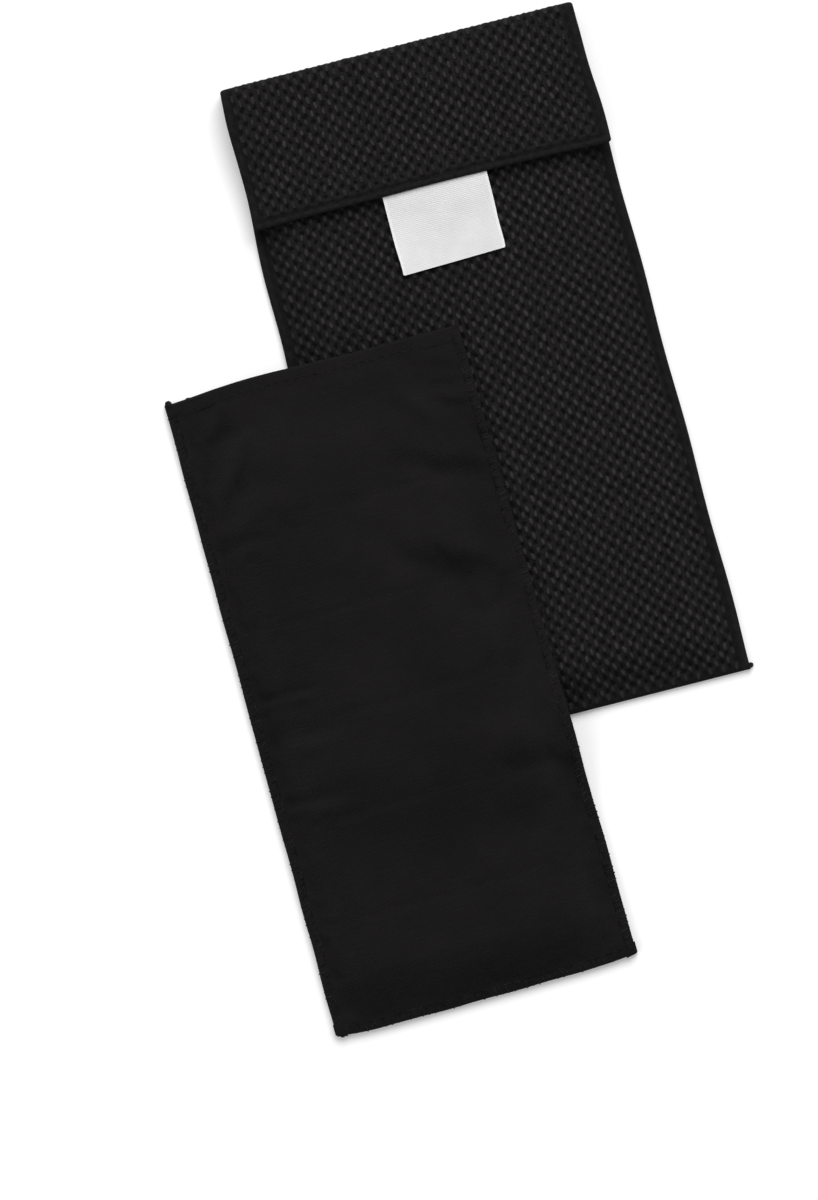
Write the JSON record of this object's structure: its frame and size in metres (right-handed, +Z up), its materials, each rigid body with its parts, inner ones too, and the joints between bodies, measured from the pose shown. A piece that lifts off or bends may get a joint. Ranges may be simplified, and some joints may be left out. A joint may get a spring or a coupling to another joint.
{
  "type": "insulin cooling case",
  "caption": "Flat black mesh cover with a fold-over flap and a white tag, with its quilted inner pouch of cooling crystals lying askew over it; keeps medicine pens cool by evaporation.",
  "frame": {"origin": "middle of the cover's back face, which lies on the table", "axes": "+Y from the cover's foot to the fold of its flap, +Z up from the table, +X to the right seen from above"},
  "size_m": [0.1365, 0.2567, 0.0177],
  "materials": {
    "mesh_cloth": "black open mesh of staggered raised grains",
    "rolled_mesh": "the same cloth rolled in at seams and hems",
    "pouch_cotton": "matte black plain weave",
    "pouch_lining": "matte black fine weave",
    "overlock_thread": "black overlocked thread",
    "tag_satin": "white woven satin",
    "closure_nylon": "black nylon hook and loop",
    "cooling_crystals": "dry whitish granules"
  },
  "bodies": {
    "cover": {"cover_back_panel": "mesh_cloth", "cover_front_panel": "mesh_cloth", "cover_left_seam": "rolled_mesh", "cover_right_seam": "rolled_mesh", "cover_bottom_fold": "rolled_mesh", "cover_mouth_hem": "rolled_mesh", "closure_loop_strip": "closure_nylon"},
    "fold": {"flap_fold": "mesh_cloth"},
    "flap": {"flap_panel": "mesh_cloth", "flap_hem": "rolled_mesh", "closure_hook_strip": "closure_nylon", "label_tag": "tag_satin"},
    "pouch": {"pouch_back_cloth": "pouch_cotton", "pouch_back_lining": "pouch_lining", "pouch_front_lining": "pouch_lining", "pouch_front_cloth": "pouch_cotton", "pouch_left_seam": "overlock_thread", "pouch_right_seam": "overlock_thread", "pouch_bottom_seam": "overlock_thread", "pouch_back_mouth_hem": "pouch_cotton", "pouch_front_mouth_hem": "pouch_cotton", "back_crystal_bed_1": "cooling_crystals", "back_crystal_bed_2": "cooling_crystals", "back_crystal_bed_3": "cooling_crystals", "back_crystal_bed_4": "cooling_crystals", "back_crystal_bed_5": "cooling_crystals", "back_crystal_bed_6": "cooling_crystals", "front_crystal_bed_1": "cooling_crystals", "front_crystal_bed_2": "cooling_crystals", "front_crystal_bed_3": "cooling_crystals", "front_crystal_bed_4": "cooling_crystals", "front_crystal_bed_5": "cooling_crystals", "front_crystal_bed_6": "cooling_crystals"}
  },
  "joints": [
    {"name": "fold_turn", "type": "hinge", "parent": "cover", "child": "fold", "pos_m": [0, 0.09285, 0.0005], "axis": [-1, 0, 0], "range_deg": [0, 90]},
    {"name": "flap_turn", "type": "hinge", "parent": "fold", "child": "flap", "pos_m": [0, 0.09285, 0.01025], "axis": [-1, 0, 0], "range_deg": [0, 90]},
    {"name": "pouch_lift", "type": "slide", "parent": "cover", "child": "pouch", "axis": [0, 0, 1], "range_m": [0, 0.08]}
  ],
  "couplings": [
    {"joint": "flap_turn", "follows": "fold_turn", "ratio": 1}
  ]
}
